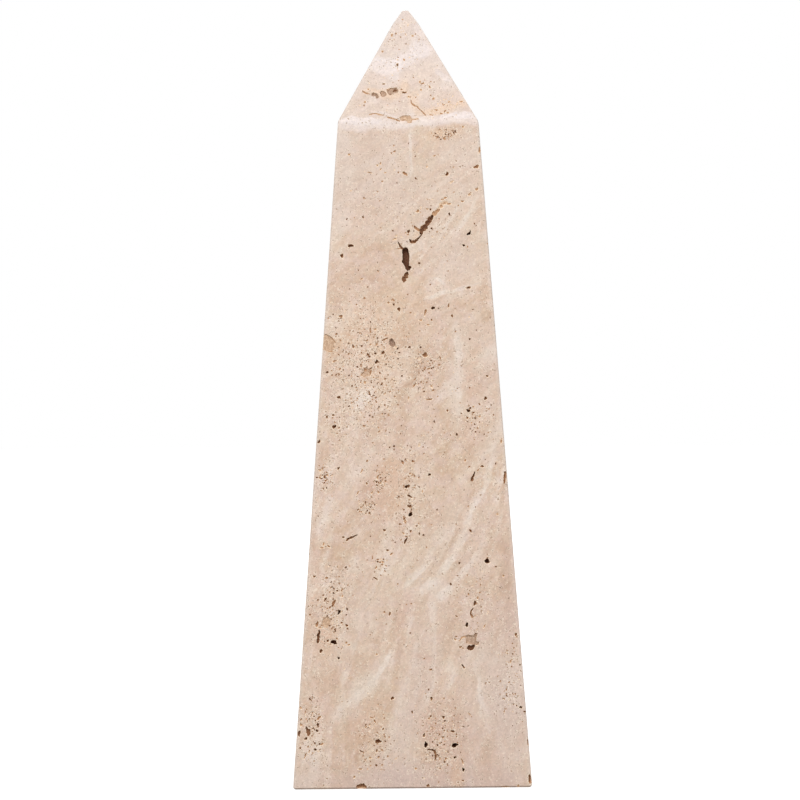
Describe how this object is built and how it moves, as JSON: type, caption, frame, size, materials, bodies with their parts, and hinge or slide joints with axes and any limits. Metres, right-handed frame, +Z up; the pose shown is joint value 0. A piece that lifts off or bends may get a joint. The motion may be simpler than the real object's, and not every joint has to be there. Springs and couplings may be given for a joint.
{
  "type": "tabletop travertine obelisk",
  "caption": "Square obelisk cut from one block of honed, unfilled travertine: a tapering shaft with eased corners, a steeper pyramidion and open natural voids.",
  "frame": {"origin": "centre of the square foot, on the surface it stands on", "axes": "+Z up the obelisk, the front face towards -Y, +X to the right seen from the front"},
  "size_m": [0.09, 0.09, 0.3],
  "materials": {
    "travertine": "honed travertine, unfilled, with open pores and cloudy bedding"
  },
  "bodies": {
    "root": {"monolith": "travertine"}
  },
  "joints": []
}
